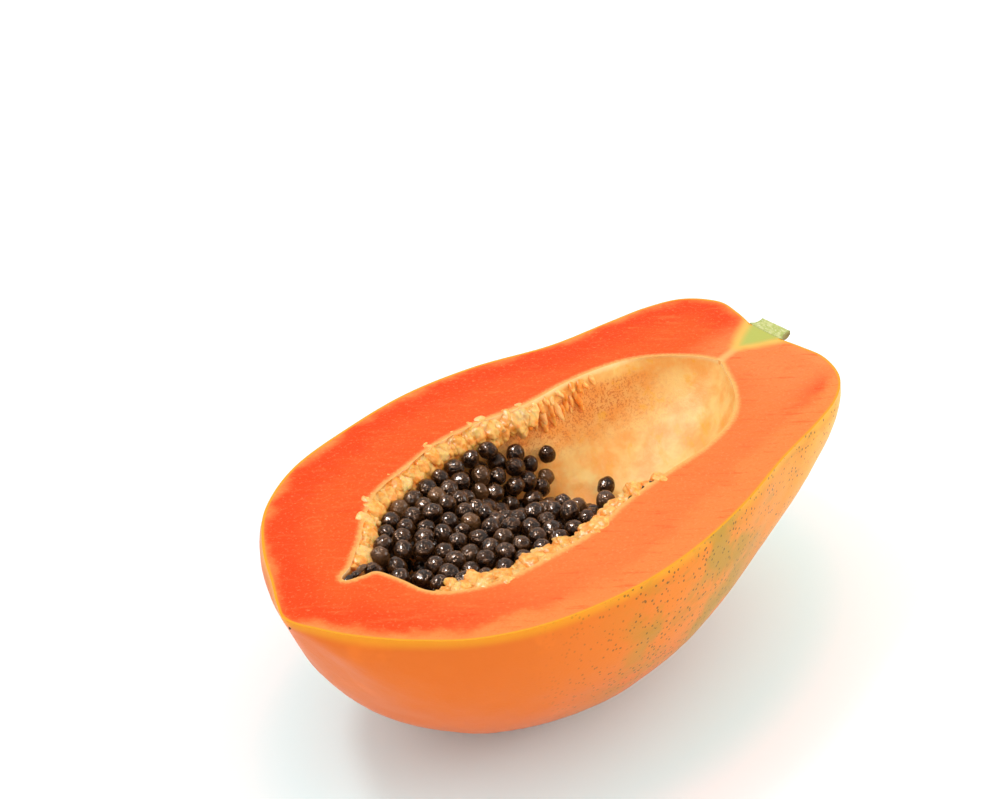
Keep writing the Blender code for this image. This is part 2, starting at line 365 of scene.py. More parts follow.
class Body:
    """Collects points, faces and per-point values of one mesh."""

    def __init__(self):
        self.points, self.faces, self.finish = [], [], []
        self.values = {}

    def add_grid(self, grid, finish, flip=False, **values):
        """Add a grid of points with its faces; values are arrays of the grid's shape."""
        rows, columns = grid.shape[:2]
        first = sum(len(p) for p in self.points)
        self.points.append(grid.reshape(-1, 3))
        for name, value in values.items():
            flat = np.broadcast_to(value, (rows, columns)).reshape(-1)
            self.values.setdefault(name, []).append(flat)
        i = first + (np.arange(rows - 1)[:, None] * columns + np.arange(columns - 1)[None, :]).reshape(-1)
        quads = np.stack([i, i + 1, i + columns + 1, i + columns], -1)
        self.faces.append(quads[:, ::-1] if flip else quads)
        self.finish.append(np.full(len(quads), finish))

    def to_object(self, name, materials):
        """Make the scene object, in metres on the frame."""
        points = np.vstack(self.points) * MM + np.array(TIP)
        mesh = bpy.data.meshes.new(name)
        mesh.from_pydata(points.tolist(), [], np.vstack(self.faces).tolist())
        mesh.polygons.foreach_set("material_index", np.concatenate(self.finish).astype(np.int32))
        for key, parts in self.values.items():
            attribute = mesh.attributes.new(key, "FLOAT", "POINT")
            attribute.data.foreach_set("value", np.concatenate(parts).astype(np.float32))
        for material in materials:
            mesh.materials.append(material)
        piece = bpy.data.objects.new(name, mesh)
        scene.collection.objects.link(piece)
        return piece


def distance_to(loop, points):
    """Distance in mm from each point to a closed line, over the cut plane."""
    tree = KDTree(len(loop))
    for index, (x, y, _) in enumerate(loop):
        tree.insert((x, y, 0), index)
    tree.balance()
    flat = points.reshape(-1, 3)
    return np.array([tree.find((x, y, 0))[2] for x, y, _ in flat]).reshape(points.shape[:-1])


STEM_ROOT = np.array([202.0, 1.2])      # middle of the stem where it enters the fruit
STEM_HALF = 6.6                          # half its width there
CORE_END = np.array([189.5, 1.6])       # where its green core ends in the flesh
VEIN_END = np.array([178.8, 0.4])       # where the pale vein from it meets the cavity


def from_core(points):
    """How far points lie outside the stem's green core, which tapers into the flesh."""
    reach = STEM_ROOT[0] - CORE_END[0]
    t = np.clip((points[..., 0] - CORE_END[0]) / reach, 0, 1.4)
    middle_y = CORE_END[1] + (STEM_ROOT[1] - CORE_END[1]) * t
    gap = np.abs(points[..., 1] - middle_y) - STEM_HALF * t**0.8
    behind = np.linalg.norm(points[..., :2] - CORE_END, axis=-1)
    return np.where(points[..., 0] < CORE_END[0], behind, np.minimum(gap, behind))


def from_vein(points):
    """Distance to the pale vein between the stem's core and the cavity."""
    run_of_vein = VEIN_END - CORE_END
    t = np.clip((points[..., :2] - CORE_END) @ run_of_vein / (run_of_vein @ run_of_vein), 0, 1)
    return np.linalg.norm(points[..., :2] - CORE_END - t[..., None] * run_of_vein, axis=-1)


FAR_OFF = 30.0                           # a gap that no band of colour reaches
OUT_OF_REACH = 99.0


def read_out(grid, skin_gap, hollow_gap, on_face=False):
    """The per-point values of one grid."""
    return {"from_skin": skin_gap, "from_hollow": hollow_gap,
            "from_stem": from_core(grid) if on_face else OUT_OF_REACH,
            "from_vein": from_vein(grid) if on_face else OUT_OF_REACH,
            "along": grid[..., 0], "aside": grid[..., 1], "below": -grid[..., 2]}


body = Body()
face_values = read_out(face, distance_to(outer_loop, face), distance_to(inner_loop, face), True)
body.add_grid(face, FLESH, **face_values)
body.add_grid(skin, SKIN, flip=True, **read_out(skin, 0.0, FAR_OFF))
body.add_grid(cavity, LINING, **read_out(cavity, FAR_OFF, 0.0))
print("points:", sum(len(p) for p in body.points))

# %% [markdown]
# ## Finishes of the fruit
# Ripe flesh is wet and lets light in, so it gets a little subsurface light and a low roughness.
# Its colour runs in bands: a thin golden line at the skin, a pale orange band, deep red-orange,
# and peach next to the cavity. The skin is waxy and orange, with olive clouds and dark specks
# in streaks along the fruit. The lining is peach, with red-brown grains below the far rim.

# %% Helpers for materials


class Finish:
    """A Principled material with short calls for the nodes that it needs."""

    def __init__(self, name, roughness, specular=0.5):
        self.material = bpy.data.materials.new(name)
        self.material.use_nodes = True
        self.nodes = self.material.node_tree.nodes
        self.links = self.material.node_tree.links
        self.surface = self.nodes["Principled BSDF"]
        self.surface.inputs["Roughness"].default_value = roughness
        self.surface.inputs["Specular IOR Level"].default_value = specular

    def put(self, socket, value):
        """Link a socket, or set it if the value is a plain number or colour."""
        if isinstance(value, bpy.types.NodeSocket):
            self.links.new(value, socket)
        elif isinstance(value, tuple) and len(value) == 3 and socket.type == "RGBA":
            socket.default_value = (*value, 1)
        else:
            socket.default_value = value

    def attribute(self, name):
        """The mesh attribute of that name."""
        node = self.nodes.new("ShaderNodeAttribute")
        node.attribute_name = name
        return node.outputs["Fac"]

    def coordinates(self, stretch=(1, 1, 1), turned=0.0):
        """Object coordinates in millimetres, turned about Z, then drawn out by stretch."""
        source = self.nodes.new("ShaderNodeTexCoord")
        node = self.nodes.new("ShaderNodeMapping")
        node.vector_type = "TEXTURE"
        node.inputs["Rotation"].default_value = (0, 0, turned)
        node.inputs["Scale"].default_value = [s * MM for s in stretch]
        self.links.new(source.outputs["Object"], node.inputs["Vector"])
        return node.outputs["Vector"]

    def noise(self, vector, size, detail=2.0, roughness=0.5):
        """Cloudy noise from 0 to 1; size is in millimetres."""
        node = self.nodes.new("ShaderNodeTexNoise")
        node.inputs["Scale"].default_value = 1 / size
        node.inputs["Detail"].default_value = detail
        node.inputs["Roughness"].default_value = roughness
        self.links.new(vector, node.inputs["Vector"])
        return node.outputs["Fac"]

    def dots(self, vector, size):
        """Distance to scattered points; size is their spacing in millimetres."""
        node = self.nodes.new("ShaderNodeTexVoronoi")
        node.inputs["Scale"].default_value = 1 / size
        self.links.new(vector, node.inputs["Vector"])
        return node.outputs["Distance"]

    def maths(self, operation, first, second=0.0):
        """One Math node."""
        node = self.nodes.new("ShaderNodeMath")
        node.operation = operation
        self.put(node.inputs[0], first)
        self.put(node.inputs[1], second)
        return node.outputs[0]

    def ramp(self, value, start, end, low=0.0, high=1.0):
        """Smooth step of a value from start to end."""
        node = self.nodes.new("ShaderNodeMapRange")
        node.interpolation_type = "SMOOTHSTEP"
        self.put(node.inputs["Value"], value)
        for name, number in (("From Min", start), ("From Max", end), ("To Min", low), ("To Max", high)):
            node.inputs[name].default_value = number
        return node.outputs["Result"]

    def blend(self, factor, first, second):
        """Mix of two colours."""
        node = self.nodes.new("ShaderNodeMix")
        node.data_type = "RGBA"
        self.put(node.inputs[0], factor)
        self.put(node.inputs[6], first)
        self.put(node.inputs[7], second)
        return node.outputs[2]

    def length(self, vector):
        """Length of a vector."""
        node = self.nodes.new("ShaderNodeVectorMath")
        node.operation = "LENGTH"
        self.links.new(vector, node.inputs[0])
        return node.outputs["Value"]

    def colour(self, value):
        """Base colour."""
        self.put(self.surface.inputs["Base Color"], value)

    def bump(self, height, depth):
        """Fine relief; depth is in millimetres."""
        node = self.nodes.new("ShaderNodeBump")
        node.inputs["Distance"].default_value = depth * MM
        self.links.new(height, node.inputs["Height"])
        self.links.new(node.outputs["Normal"], self.surface.inputs["Normal"])

    def soft_light(self, weight, radius, scale):
        """Light that enters and comes out again; scale is in millimetres."""
        self.surface.inputs["Subsurface Weight"].default_value = weight
        self.surface.inputs["Subsurface Radius"].default_value = radius
        self.surface.inputs["Subsurface Scale"].default_value = scale * MM


print("finish helper ready")

# %% White card, with a painted cyan tint round the fruit against its bounced orange light
card = Finish("white_card", 0.9, 0.05)
# Painted tint: the card is cyan round the fruit's footprint, to cancel the orange light that the fruit
# bounces into its contact shadow.
painted_tint_ring = card.length(card.coordinates((118, 74, 1)))
card.colour(card.blend(card.ramp(painted_tint_ring, 0.8, 1.10), (0.76, 0.96, 0.98), (0.98, 0.98, 0.98)))
floor_mesh.materials.append(card.material)
print("floor finished")

# %% Cut flesh
flesh = Finish("cut_flesh", 0.42, 0.07)
spot = flesh.coordinates()
rim_gap = flesh.attribute("from_skin")
hollow_gap = flesh.attribute("from_hollow")
stem_gap = flesh.attribute("from_stem")
along = flesh.attribute("along")
aside = flesh.attribute("aside")
cloud = flesh.noise(spot, 10.0, 3.0, 0.55)
wander = flesh.maths("MULTIPLY", flesh.maths("SUBTRACT", cloud, 0.5), 11.0)
fibre = flesh.noise(spot, 1.1, 4.0, 0.75)
knife_way = flesh.coordinates((5.0, 1.0, 1.0), VIEW_AZIMUTH)
streak = flesh.noise(knife_way, 2.2, 3.0, 0.65)
deep_red = (0.80, 0.052, 0.001)
mid_orange = (0.81, 0.088, 0.007)
pale_orange = (0.83, 0.235, 0.050)
fibre_light, fibre_dark = (0.86, 0.30, 0.095), (0.76, 0.045, 0.002)
streak_light, streak_dark = (0.84, 0.22, 0.050), (0.78, 0.045, 0.001)
stem_yellow, stem_green = (0.84, 0.45, 0.09), (0.45, 0.47, 0.10)
vein_white = (0.86, 0.46, 0.15)
gold = (0.76, 0.33, 0.012)
peach = (0.84, 0.40, 0.11)
near_side = flesh.maths("MULTIPLY", flesh.ramp(aside, 4, -30), flesh.ramp(along, 5, 80))
near_side = flesh.maths("MULTIPLY", near_side, flesh.ramp(along, 194, 168))
near_band = flesh.maths("MULTIPLY", near_side, 6.5)
pale_width = flesh.maths("ADD", near_band, flesh.ramp(aside, 4, -4, 0.0, 1.5))
soft_gap = flesh.maths("SUBTRACT", flesh.maths("ADD", rim_gap, wander), pale_width)
tone = flesh.blend(flesh.ramp(soft_gap, -1.5, 4.2), pale_orange, deep_red)
tone = flesh.blend(flesh.ramp(soft_gap, 6.0, 17.0, 0.0, 0.9), tone, mid_orange)
tone = flesh.blend(flesh.maths("MULTIPLY", near_side, 0.78), tone, (0.83, 0.205, 0.045))
neck_side = flesh.maths("MULTIPLY", flesh.ramp(aside, 16, 4), flesh.ramp(aside, -36, -24))
paler_neck = flesh.maths("MULTIPLY", flesh.ramp(along, 158, 188), neck_side)
tone = flesh.blend(flesh.maths("MULTIPLY", paler_neck, 0.8), tone, (0.84, 0.235, 0.060))
tone = flesh.blend(flesh.ramp(streak, 0.52, 0.78, 0.0, 0.38), tone, streak_light)
tone = flesh.blend(flesh.ramp(streak, 0.46, 0.26, 0.0, 0.45), tone, streak_dark)
tone = flesh.blend(flesh.ramp(fibre, 0.52, 0.74, 0.0, 0.5), tone, fibre_light)
tone = flesh.blend(flesh.ramp(fibre, 0.46, 0.28, 0.0, 0.35), tone, fibre_dark)
ragged = flesh.maths("MULTIPLY", flesh.maths("SUBTRACT", fibre, 0.5), 3.0)
ragged_gap = flesh.maths("ADD", hollow_gap, ragged)
tone = flesh.blend(flesh.ramp(ragged_gap, 2.2, 0.1), tone, peach)
tone = flesh.blend(flesh.ramp(rim_gap, 1.1, 0.35), tone, gold)
tone = flesh.blend(flesh.ramp(flesh.attribute("from_vein"), 2.2, 0.3, 0.0, 0.75), tone, vein_white)
tone = flesh.blend(flesh.ramp(stem_gap, 4.5, 0.2), tone, stem_yellow)
tone = flesh.blend(flesh.ramp(stem_gap, 1.4, -2.6), tone, stem_green)
flesh.colour(tone)
flesh.bump(fibre, 0.12)
flesh.soft_light(0.10, (1.0, 0.25, 0.08), 2.5)
print("cut flesh:", len(flesh.nodes), "nodes")

# %% Skin
rind = Finish("waxy_skin", 0.36, 0.13)
spot = rind.coordinates()
streaked = rind.coordinates((3.3, 1, 1))
along = rind.attribute("along")
below = rind.attribute("below")
cloud = rind.noise(spot, 22.0, 4.0, 0.6)
patch = rind.noise(streaked, 6.0, 4.0, 0.65)
tip_orange, belly_orange, neck_gold = (0.70, 0.150, 0.014), (0.72, 0.225, 0.012), (0.92, 0.370, 0.035)
low_red, cloud_orange, rim_gold = (0.72, 0.120, 0.012), (0.86, 0.20, 0.02), (0.80, 0.33, 0.012)
olive_green, ripple_brown, speck_brown = (0.36, 0.23, 0.018), (0.38, 0.20, 0.018), (0.12, 0.070, 0.012)
tone = rind.blend(rind.ramp(along, 20, 140), tip_orange, belly_orange)
tone = rind.blend(rind.ramp(along, 135, 195), tone, neck_gold)
tone = rind.blend(rind.ramp(below, 20, 64, 0.0, 0.75), tone, low_red)
tone = rind.blend(rind.ramp(cloud, 0.56, 0.72, 0.0, 0.35), tone, cloud_orange)
tone = rind.blend(rind.ramp(below, 3.5, 0.4, 0.0, 0.7), tone, rim_gold)
olive_zone = rind.maths("MULTIPLY", rind.ramp(along, 55, 95), rind.ramp(below, 66, 30))
olive = rind.maths("MULTIPLY", rind.ramp(cloud, 0.42, 0.60), olive_zone)
olive = rind.maths("MULTIPLY", olive, rind.ramp(along, 150, 120, 0.1, 1.0))
tone = rind.blend(rind.maths("MULTIPLY", olive, 0.80), tone, olive_green)
ripple = rind.maths("MULTIPLY", rind.ramp(patch, 0.50, 0.66), rind.ramp(along, 55, 95))
tone = rind.blend(rind.maths("MULTIPLY", ripple, 0.40), tone, ripple_brown)
wander = rind.noise(spot, 0.7, 2.0, 0.6)
speck = rind.maths("ADD", rind.dots(spot, 1.7), rind.maths("MULTIPLY", wander, 0.30))
dot = rind.ramp(speck, 0.44, 0.32)
speck_zone = rind.maths("MULTIPLY", rind.ramp(patch, 0.36, 0.50), rind.ramp(along, 38, 80))
dark = rind.maths("MULTIPLY", dot, speck_zone)
tone = rind.blend(rind.maths("MULTIPLY", dark, 0.9), tone, speck_brown)
rind.colour(tone)
rind.bump(rind.noise(spot, 0.8, 3.0, 0.65), 0.06)
rind.soft_light(0.06, (1.0, 0.3, 0.1), 1.5)
print("skin:", len(rind.nodes), "nodes")

# %% Cavity lining
lining = Finish("cavity_lining", 0.45, 0.15)
spot = lining.coordinates()
along = lining.attribute("along")
below = lining.attribute("below")
aside = lining.attribute("aside")
cloud = lining.noise(spot, 9.0, 3.0, 0.6)
grain = lining.noise(spot, 0.8, 4.0, 0.75)
tone = lining.blend(lining.ramp(cloud, 0.32, 0.66), (0.95, 0.43, 0.10), (0.97, 0.65, 0.22))
tone = lining.blend(lining.ramp(along, 125, 85, 0.0, 0.7), tone, (0.90, 0.26, 0.040))
band = lining.maths("MULTIPLY", lining.ramp(below, 3.0, 6.5), lining.ramp(below, 24.0, 11.0))
reach = lining.maths("MULTIPLY", lining.ramp(along, 100, 118), lining.ramp(along, 176, 150))
zone = lining.maths("MULTIPLY", lining.maths("MULTIPLY", band, reach), lining.ramp(aside, 2, 12))
tone = lining.blend(lining.maths("MULTIPLY", zone, 0.45), tone, (0.86, 0.25, 0.035))
grains = lining.maths("MULTIPLY", zone, lining.ramp(grain, 0.50, 0.60))
tone = lining.blend(lining.maths("MULTIPLY", grains, 0.9), tone, (0.60, 0.11, 0.012))
tone = lining.blend(lining.ramp(grain, 0.55, 0.75, 0.0, 0.4), tone, (0.97, 0.70, 0.30))
fold = lining.noise(lining.coordinates((4.0, 1, 1), 0.9), 5.0, 3.0, 0.6)
golden = lining.maths("MULTIPLY", lining.ramp(fold, 0.54, 0.68), lining.ramp(along, 128, 150))
tone = lining.blend(lining.maths("MULTIPLY", golden, 0.5), tone, (0.95, 0.46, 0.03))
tone = lining.blend(lining.ramp(below, 1.8, 0.2, 0.0, 0.8), tone, (0.96, 0.68, 0.33))
lining.colour(tone)
lining.bump(grain, 0.22)
lining.soft_light(0.12, (1.0, 0.35, 0.1), 2.5)
print("lining:", len(lining.nodes), "nodes")

# %% Make the fruit
import bmesh

WELD_GAP = 0.02 * MM


def weld(piece):
    """Join a piece along its shared rims and turn its faces outwards; returns its open edges."""
    mesh = bmesh.new()
    mesh.from_mesh(piece.data)
    bmesh.ops.remove_doubles(mesh, verts=mesh.verts, dist=WELD_GAP)
    bmesh.ops.holes_fill(mesh, edges=[edge for edge in mesh.edges if edge.is_boundary], sides=0)
    bmesh.ops.recalc_face_normals(mesh, faces=mesh.faces)
    for edge in mesh.edges:
        edge.smooth = len({linked.material_index for linked in edge.link_faces}) == 1
    left_open = sum(1 for edge in mesh.edges if not edge.is_manifold)
    mesh.to_mesh(piece.data)
    mesh.free()
    piece.data.shade_smooth()
    return left_open


def belongs(piece, slot, *nodes):
    """Put a finished piece on the one body, and let it stand for its nodes."""
    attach(piece, "root")
    if nodes:
        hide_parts(*nodes)


fruit = body.to_object("fruit", [rind.material, flesh.material, lining.material])
print("fruit open edges:", weld(fruit))
belongs(fruit, "fruit", "papaya_half")
print("fruit:", len(fruit.data.polygons), "faces")

# %% [markdown]
# ## The stem
# The stem was split by the same cut as the fruit, so it is half a stalk with a flat pale face
# and brown bark round its belly. It is a short loft like the fruit, with ridges in the bark.
# Its outer end is slightly torn and is left without a cap.

# %% Make the stem
STEM_SECTIONS = np.array([
    (202.9, 7.4, 201.9, -5.0, 6.0),
    (204.6, 7.0, 204.0, -4.5, 5.7),
    (206.5, 6.8, 206.2, -4.3, 5.5),
    (208.3, 7.1, 207.9, -4.5, 5.6),
])
BARK, PITH = 0, 1
STEM_RINGS = 40
BARK_STEPS = 60
PITH_STEPS = 36
bark_angles = np.linspace(0, math.pi, BARK_STEPS + 1)
bark_grid = wall_points(sections_between(STEM_SECTIONS, np.linspace(0, 1, STEM_RINGS)), bark_angles)
ridges = 0.22 * lumps(bark_grid * (0.35, 1, 1), 1.1, 11) + 0.16 * lumps(bark_grid, 2.6, 12)
bark_fade = fade(-bark_grid[..., 2], 0, 0.8)
bark_grid = bark_grid - normals_of(bark_grid) * (np.abs(ridges) * bark_fade)[..., None]
torn = 0.35 * lumps(bark_grid[-1], 1.2, 13) - 0.3
bark_grid[-1, :, 0] += torn
pith_mix = np.linspace(0, 1, PITH_STEPS + 1)[None, :, None]
pith_grid = bark_grid[:, :1] * (1 - pith_mix) + bark_grid[:, -1:] * pith_mix
pith_inside = fade(pith_mix[..., 0], 0, 0.06) * (1 - fade(pith_mix[..., 0], 0.94, 1))
pith_inside = pith_inside * fade(np.arange(STEM_RINGS)[:, None], 0, 2)
pith_grid[..., 2] -= (0.12 * np.abs(lumps(pith_grid, 1.0, 14)) + 0.03) * pith_inside

bark = Finish("stem_bark", 0.75, 0.2)
spot = bark.coordinates((2.5, 1, 1))
tone = bark.blend(bark.noise(spot, 1.3, 3.0, 0.6), (0.10, 0.075, 0.03), (0.40, 0.38, 0.12))
bark.colour(tone)
bark.bump(bark.noise(spot, 0.5, 3.0, 0.7), 0.15)

pith = Finish("stem_pith", 0.6, 0.2)
spot = pith.coordinates()
patches = pith.ramp(pith.noise(spot, 1.6, 3.0, 0.6), 0.4, 0.65)
tone = pith.blend(patches, (0.42, 0.46, 0.11), (0.58, 0.58, 0.24))
edge_gap = pith.attribute("to_bark")
tone = pith.blend(pith.ramp(edge_gap, 1.2, 0.2, 0.0, 0.7), tone, (0.30, 0.36, 0.08))
flecks = pith.ramp(pith.dots(spot, 0.9), 0.30, 0.12, 0.0, 0.8)
tone = pith.blend(flecks, tone, (0.72, 0.72, 0.50))
pith.colour(tone)
pith.bump(pith.noise(spot, 0.4, 2.0, 0.6), 0.1)

stem_body = Body()
PITH_WIDTH = 12.0                        # mm across the stem's cut face
to_bark = (0.5 - np.abs(pith_mix[..., 0] - 0.5)) * PITH_WIDTH
stem_body.add_grid(pith_grid, PITH, flip=True, to_bark=to_bark)
stem_body.add_grid(bark_grid, BARK, to_bark=0.0)


stem = stem_body.to_object("stem", [bark.material, pith.material])
print("stem open edges:", weld(stem))
belongs(stem, "stem", "stem_stub")

# %% [markdown]
# ## One tree for everything small and soft
# Seeds, ruffles of tissue and seed scraps are all a small round thing, set down many times, each
# turned, sized and wrinkled its own way. That is a job for Geometry Nodes: points go in, an ico
# sphere is put on each, the copies are made real, and noise wrinkles the result.

# %% The scatter tree


def scatter_tree():
    """Geometry Nodes group: a wrinkled pebble on every point, with its own turn, size and tone."""
    tree = bpy.data.node_groups.new("wrinkled_pebbles", "GeometryNodeTree")
    add = tree.nodes.new
    link = tree.links.new
    sockets = (("Points", "NodeSocketGeometry"), ("Detail", "NodeSocketInt"),
               ("Wrinkle Depth", "NodeSocketFloat"), ("Wrinkle Size", "NodeSocketFloat"),
               ("Seed", "NodeSocketInt"), ("Finish", "NodeSocketMaterial"))
    for name, kind in sockets:
        tree.interface.new_socket(name=name, in_out="INPUT", socket_type=kind)
    tree.interface.new_socket(name="Geometry", in_out="OUTPUT", socket_type="NodeSocketGeometry")
    source = add("NodeGroupInput").outputs
    result = add("NodeGroupOutput")

    def named(attribute):
        node = add("GeometryNodeInputNamedAttribute")
        node.data_type = "FLOAT_VECTOR"
        node.inputs["Name"].default_value = attribute
        return node.outputs["Attribute"]

    pebble = add("GeometryNodeMeshIcoSphere")
    pebble.inputs["Radius"].default_value = 1.0
    link(source["Detail"], pebble.inputs["Subdivisions"])
    spread = add("GeometryNodeInstanceOnPoints")
    link(source["Points"], spread.inputs["Points"])
    link(pebble.outputs["Mesh"], spread.inputs["Instance"])
    rotation = add("FunctionNodeEulerToRotation")
    link(named("turn"), rotation.inputs["Euler"])
    link(rotation.outputs["Rotation"], spread.inputs["Rotation"])
    link(named("size"), spread.inputs["Scale"])
    chance = add("FunctionNodeRandomValue")
    chance.data_type = "FLOAT"
    link(source["Seed"], chance.inputs["Seed"])
    store = add("GeometryNodeStoreNamedAttribute")
    store.data_type = "FLOAT"
    store.domain = "INSTANCE"
    store.inputs["Name"].default_value = "tone"
    link(spread.outputs["Instances"], store.inputs["Geometry"])
    link(chance.outputs[1], store.inputs["Value"])
    real = add("GeometryNodeRealizeInstances")
    link(store.outputs["Geometry"], real.inputs["Geometry"])
    noise = add("ShaderNodeTexNoise")
    noise.inputs["Detail"].default_value = 3.0
    inverse = add("ShaderNodeMath")
    inverse.operation = "DIVIDE"
    inverse.inputs[0].default_value = 1.0
    link(source["Wrinkle Size"], inverse.inputs[1])
    link(inverse.outputs[0], noise.inputs["Scale"])
    centred = add("ShaderNodeMath")
    centred.operation = "SUBTRACT"
    link(noise.outputs["Fac"], centred.inputs[0])
    centred.inputs[1].default_value = 0.55
    height = add("ShaderNodeMath")
    height.operation = "MULTIPLY"
    link(centred.outputs[0], height.inputs[0])
    link(source["Wrinkle Depth"], height.inputs[1])
    push = add("ShaderNodeVectorMath")
    push.operation = "SCALE"
    link(add("GeometryNodeInputNormal").outputs["Normal"], push.inputs["Vector"])
    link(height.outputs[0], push.inputs["Scale"])
    move = add("GeometryNodeSetPosition")
    link(real.outputs["Geometry"], move.inputs["Geometry"])
    link(push.outputs["Vector"], move.inputs["Offset"])
    smooth = add("GeometryNodeSetShadeSmooth")
    link(move.outputs["Geometry"], smooth.inputs["Geometry"])
    finish = add("GeometryNodeSetMaterial")
    link(smooth.outputs["Geometry"], finish.inputs["Geometry"])
    link(source["Finish"], finish.inputs["Material"])
    link(finish.outputs["Geometry"], result.inputs["Geometry"])
    return tree


pebbles = scatter_tree()
socket_of = {item.name: item.identifier for item in pebbles.interface.items_tree if item.in_out == "INPUT"}


def scatter(name, spots, material, detail, wrinkle_depth, wrinkle_size, seed):
    """One mesh of pebbles; spots are (place, turn, size) with lengths in millimetres."""
    carrier = bpy.data.meshes.new(name + "_points")
    carrier.from_pydata([place(*spot[0]) for spot in spots], [], [])
    for key, index, scale in (("turn", 1, 1.0), ("size", 2, MM)):
        attribute = carrier.attributes.new(key, "FLOAT_VECTOR", "POINT")
        attribute.data.foreach_set("vector", np.array([spot[index] for spot in spots]).ravel() * scale)
    piece = bpy.data.objects.new(name, carrier)
    scene.collection.objects.link(piece)
    modifier = piece.modifiers.new("pebbles", "NODES")
    modifier.node_group = pebbles
    values = {"Detail": detail, "Wrinkle Depth": wrinkle_depth * MM, "Wrinkle Size": wrinkle_size * MM,
              "Seed": seed, "Finish": material}
    for key, value in values.items():
        modifier[socket_of[key]] = value
    graph = bpy.context.evaluated_depsgraph_get()
    made = bpy.data.meshes.new_from_object(piece.evaluated_get(graph), preserve_all_data_layers=True,
                                           depsgraph=graph)
    piece.modifiers.clear()
    piece.data = made
    made.name = name
    bpy.data.meshes.remove(carrier)
    print(name + ":", len(spots), "pebbles,", len(made.polygons), "faces")
    return piece


print("scatter tree:", len(pebbles.nodes), "nodes")

# %% [markdown]
# ## Where the seeds lie
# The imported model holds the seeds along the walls. The rest of the heap is grown from them: out of
# many random spots below the heap's surface, the next seed always takes the free one that
# touches its neighbours most closely, as a seed does that rolls into a gap.

# %% Fill the heap
SEED_PITCH = 5.75                  # closest distance between two seed centres
SEED_CLEAR = 3.0                   # least distance from a seed centre to the wall
TOP_SEEDS = 120
DEEP_SEEDS = 130
HEAP_SEED = 5
FRINGE = 5.0                       # mm of soft tissue along the rims, free of seeds
FRINGE_DEPTH, LEDGE_DEPTH = 8, 5   # mm that the far and the near tissue reach down
LEDGE_START = 38                   # x where the near ledge begins
HEAP_DROP = 3.4                    # mm from the cut to the centres of the highest seeds
HOLLOW_DEPTH = 19.0                # mm of the hollow in the middle of the heap
SLOPE_START, SLOPE_END = 100, 115  # x where the heap falls away, and where it stops
TRIES = 16000                      # random spots to choose from
TOP_BAND = (0, 1.8)                # mm under the heap's surface
DEEP_BAND = (4.5, 26)
BED_LOW, BED_HIGH = (26, -29), (132, 30)


def heap_top(x, y):
    """Height of the top seeds' centres, in mm from the cut: full at the rims, hollow inside."""
    dip = HOLLOW_DEPTH * np.exp(-((x - 99) / 17) ** 2 - ((y - 8) / 13) ** 2)
    slope = np.maximum(x - SLOPE_START - 0.25 * y, 0)
    return -HEAP_DROP - dip - slope


wall_tree = KDTree(cavity.shape[0] * cavity.shape[1])
for index, point in enumerate(cavity.reshape(-1, 3)):
    wall_tree.insert(point, index)
wall_tree.balance()
cavity_x = cavity[:, CAVITY_STEPS // 2, 0]


def in_cavity(point):
    """Whether a seed centre lies inside the cavity and clear of its wall."""
    row = min(int(np.searchsorted(cavity_x, point[0])), len(cavity_x) - 1)
    far_y, near_y, depth = cavity[row, 0, 1], cavity[row, -1, 1], -cavity[row, CAVITY_STEPS // 2, 2]
    across = (point[1] - (far_y + near_y) / 2) / max((far_y - near_y) / 2, 0.1)
    inside = across**2 + (point[2] / max(depth, 0.1)) ** 2 < 1
    on_fringe = point[2] > -FRINGE_DEPTH and point[1] > far_y - FRINGE
    on_ledge = point[2] > -LEDGE_DEPTH and point[1] < near_y + FRINGE and point[0] > LEDGE_START
    on_slope = point[0] < SLOPE_END + 0.2 * point[1]
    return inside and on_slope and not (on_fringe or on_ledge) and wall_tree.find(point)[2] > SEED_CLEAR


def grow(seats, spots, count):
    """Add the spots that fit most closely against the seats, one after the other."""
    seats = list(seats)
    gaps = np.sort(np.linalg.norm(spots[:, None] - np.array(seats)[None], axis=-1), axis=1)[:, :3]
    for _ in range(count):
        score = np.where(gaps[:, 0] < SEED_PITCH, np.inf, gaps @ (1.0, 0.8, 0.6))
        best = int(np.argmin(score))
        if not np.isfinite(score[best]):
            break
        seats.append(spots[best])
        fresh = np.linalg.norm(spots - spots[best], axis=-1)[:, None]
        gaps = np.sort(np.hstack([gaps, fresh]), axis=1)[:, :3]
    return seats


chance = np.random.default_rng(HEAP_SEED)
seed_nodes = sorted(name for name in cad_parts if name.startswith("seed_") and name != "seed_heap")
wall_seeds = [from_tip((Vector(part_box(name)[0]) + Vector(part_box(name)[1])) / 2) for name in seed_nodes]
flat = chance.uniform(BED_LOW, BED_HIGH, (TRIES, 2))
drop = chance.uniform(*TOP_BAND, TRIES)
top_spots = np.column_stack([flat, heap_top(flat[:, 0], flat[:, 1]) - drop])
top_spots = np.array([spot for spot in top_spots if in_cavity(spot)])
top_seats = grow(wall_seeds, top_spots, TOP_SEEDS)
deep_drop = chance.uniform(*DEEP_BAND, TRIES)
deep_spots = np.column_stack([flat, heap_top(flat[:, 0], flat[:, 1]) - deep_drop])
deep_spots = np.array([spot for spot in deep_spots if in_cavity(spot)])
all_seats = grow(top_seats, deep_spots, DEEP_SEEDS)
deep_seats = all_seats[len(top_seats):]
print("seeds on top:", len(top_seats), " deeper:", len(deep_seats))
